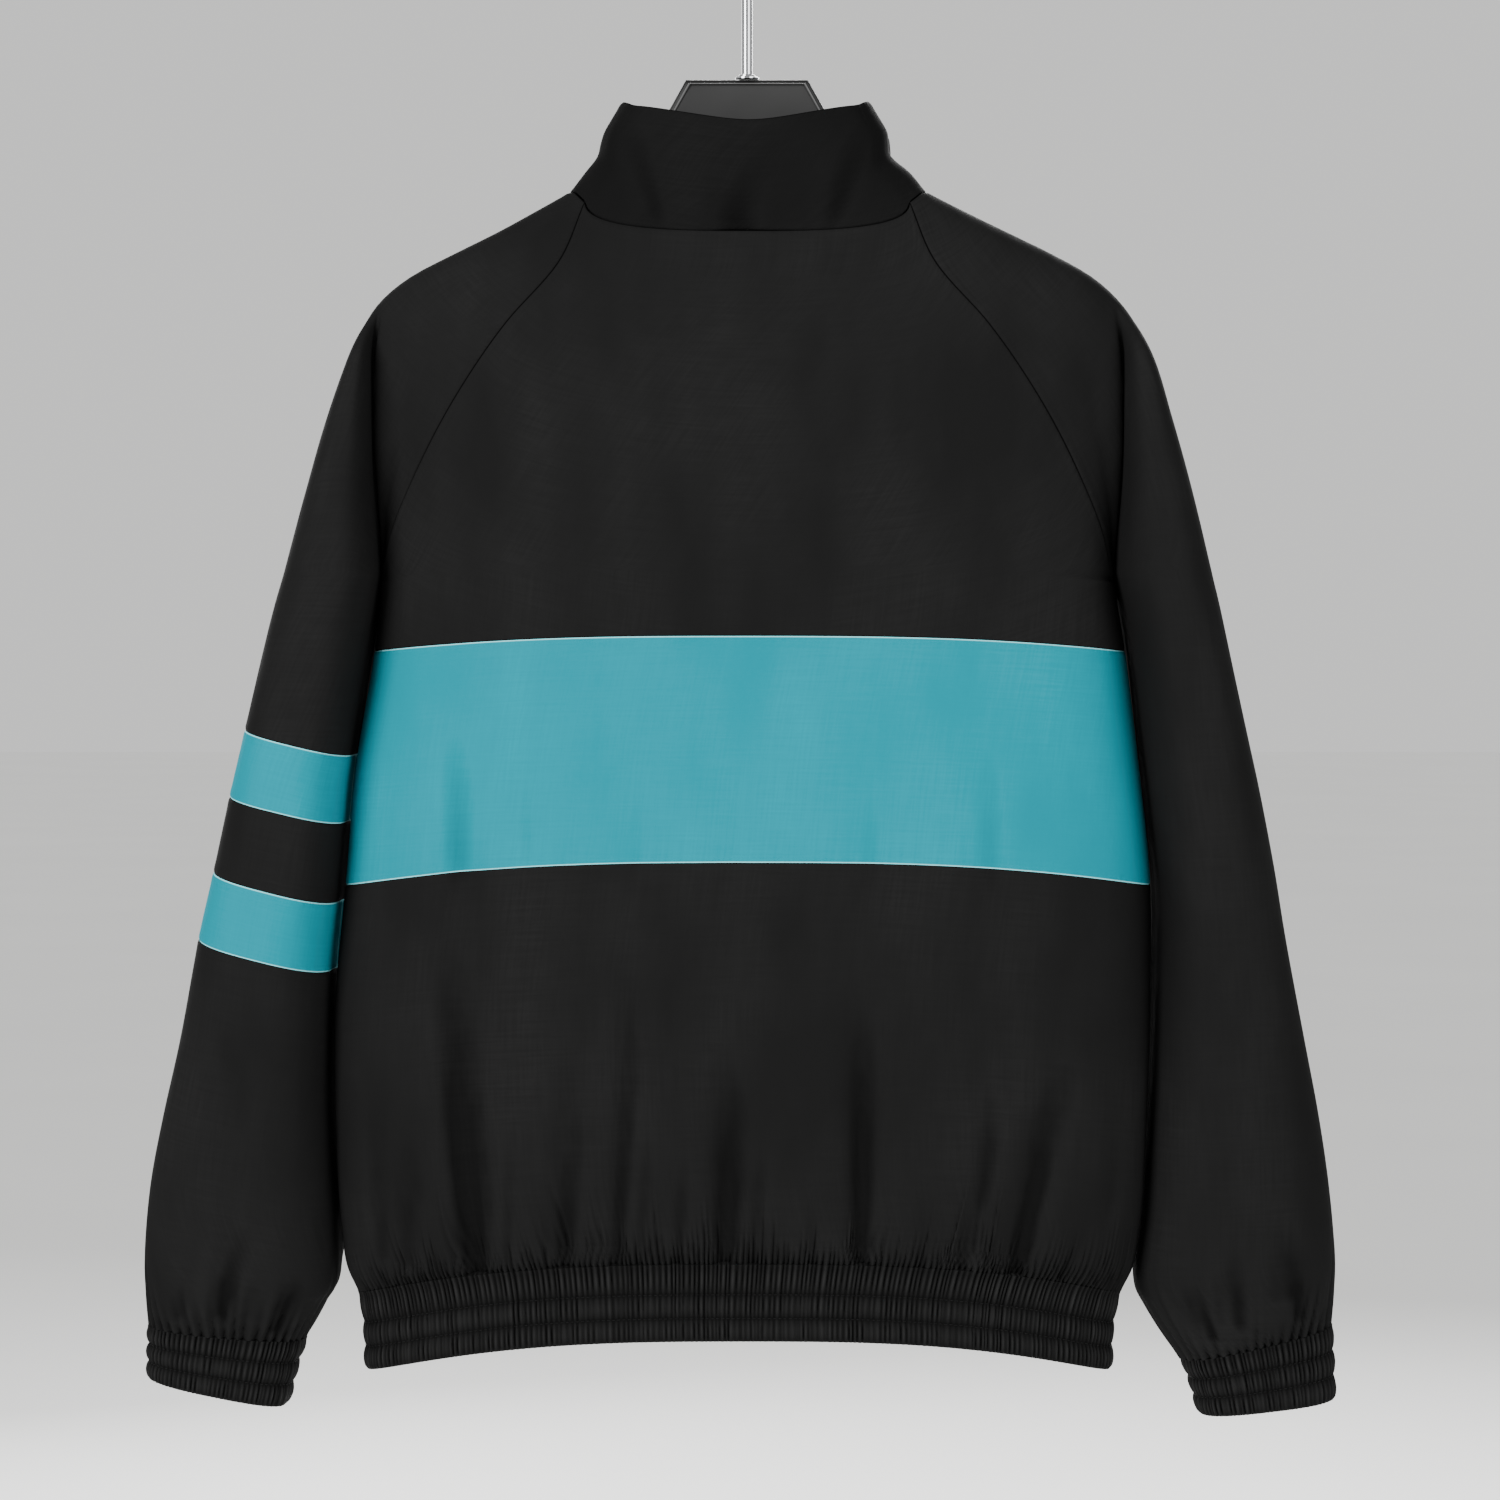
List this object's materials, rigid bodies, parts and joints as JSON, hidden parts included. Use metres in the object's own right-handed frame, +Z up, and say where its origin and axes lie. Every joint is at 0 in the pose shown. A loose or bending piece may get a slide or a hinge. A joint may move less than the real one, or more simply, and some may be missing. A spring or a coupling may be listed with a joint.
{
  "type": "windbreaker jacket on a hanger",
  "caption": "Raglan windbreaker with a stand-up collar, front zip, chest band, striped sleeve and gathered hem and cuffs, on a wide-shouldered hanger.",
  "frame": {"origin": "inner crown of the hanger's hook, the point that rests on a rail", "axes": "+Z up along the hanging garment, +X the wearer's left, -Y the garment's front and +Y its back"},
  "size_m": [0.7506, 0.1516, 0.9651],
  "materials": {
    "black_cloth": "matte woven nylon",
    "teal_cloth": "matte woven nylon",
    "elastic_cloth": "gathered woven nylon over elastic",
    "zip_tape": "woven tape",
    "zip_plastic": "moulded",
    "hanger_plastic": "moulded",
    "chrome": "polished"
  },
  "bodies": {
    "garment": {"back_upper": "black_cloth", "back_band": "teal_cloth", "back_lower": "black_cloth", "front_upper_left": "black_cloth", "front_upper_right": "black_cloth", "front_band_left": "teal_cloth", "front_band_right": "teal_cloth", "front_lower_left": "black_cloth", "front_lower_right": "black_cloth", "sleeve_left_upper": "black_cloth", "sleeve_left_stripe_upper": "teal_cloth", "sleeve_left_middle": "black_cloth", "sleeve_left_stripe_lower": "teal_cloth", "sleeve_left_lower": "black_cloth", "sleeve_right": "black_cloth", "cuff_left": "elastic_cloth", "cuff_right": "elastic_cloth", "hem": "elastic_cloth", "collar": "black_cloth", "zip_tape_left": "zip_tape", "zip_tape_right": "zip_tape", "zip_chain": "zip_plastic", "zip_box": "zip_plastic", "zip_slider": "zip_plastic", "hanger": "hanger_plastic", "hanger_hook": "chrome", "hanger_ferrule": "chrome"},
    "pull_tab": {"zip_pull_tab": "zip_plastic"}
  },
  "joints": [
    {"name": "pull_tab_swing", "type": "hinge", "parent": "garment", "child": "pull_tab", "pos_m": [0, -0.05578, -0.17578], "axis": [-1, 0, 0], "range_deg": [0, 150]}
  ]
}
